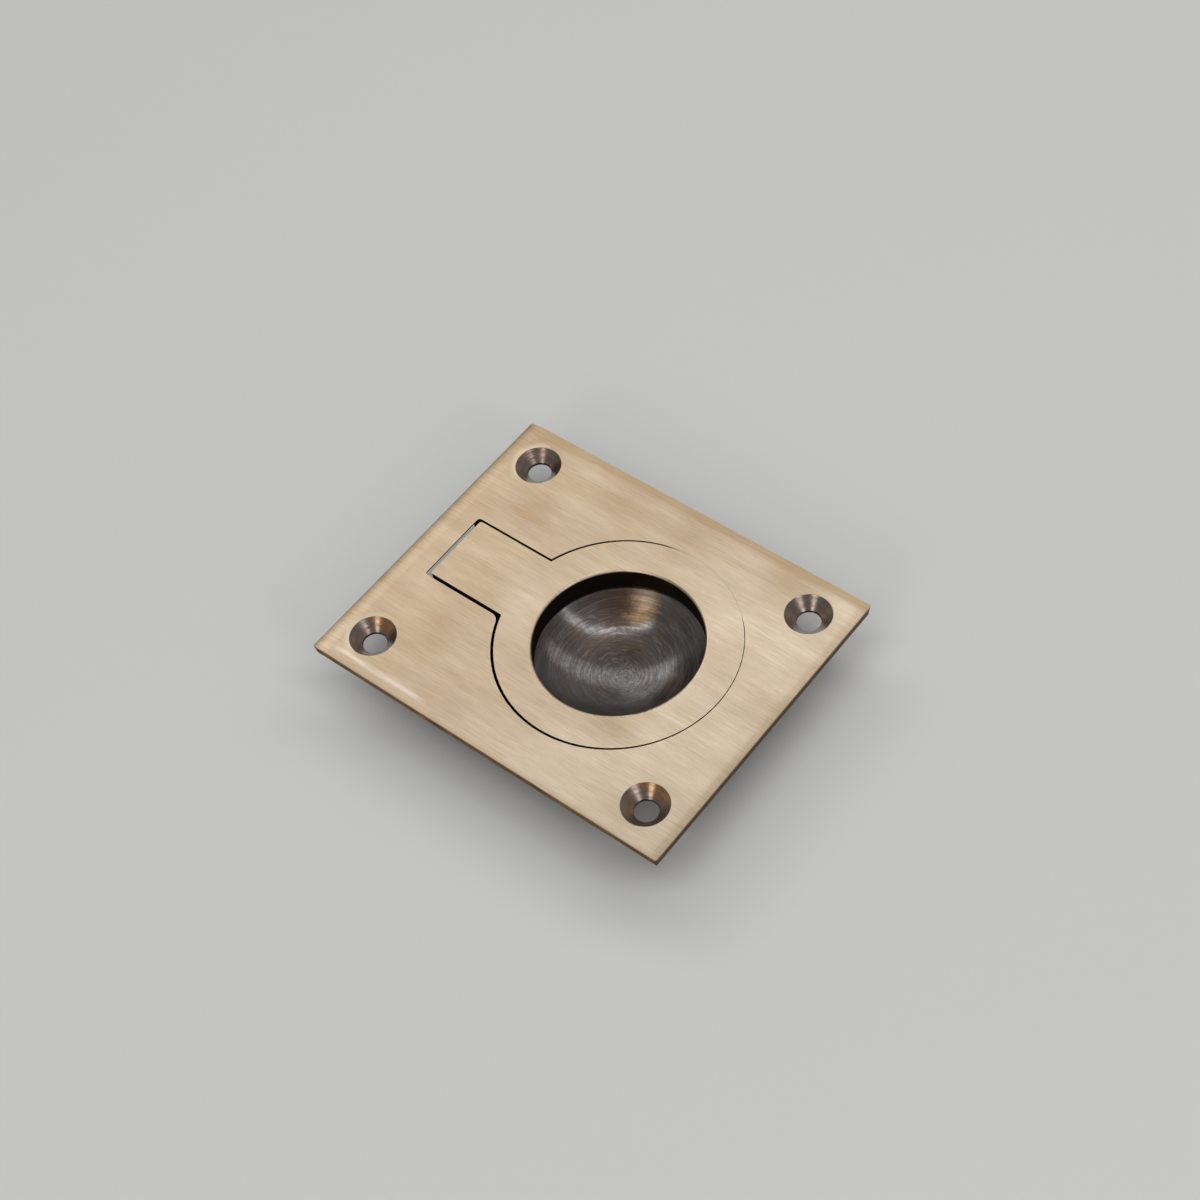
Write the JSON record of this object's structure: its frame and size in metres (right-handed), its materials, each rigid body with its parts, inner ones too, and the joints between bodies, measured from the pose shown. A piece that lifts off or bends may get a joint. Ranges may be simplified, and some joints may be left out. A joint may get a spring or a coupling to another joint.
{
  "type": "recessed ring pull",
  "caption": "Flush ring pull: a rectangular cast plate with a finger bowl behind it and a ring that folds flat into it and lifts on a hinge pin.",
  "frame": {"origin": "middle of the four screw holes, on the plate's back face, where it seats", "axes": "+X along the plate from the hinge end to the ring end, +Y across it, +Z out of the front face"},
  "size_m": [0.0807, 0.065, 0.0135],
  "materials": {
    "recess_plate": "front brushed along the length, recess and back left in a dark bronze patina",
    "ring_handle": "front brushed along the length, edges and underside dark",
    "hinge_pin": "drawn, dull"
  },
  "bodies": {
    "recess": {"recess_plate": "recess_plate", "hinge_pin": "hinge_pin"},
    "ring": {"ring_handle": "ring_handle"}
  },
  "joints": [
    {"name": "ring_lift", "type": "hinge", "parent": "recess", "child": "ring", "pos_m": [-0.02855, 0, -0.0014], "axis": [0, -1, 0], "range_deg": [0, 97]}
  ]
}
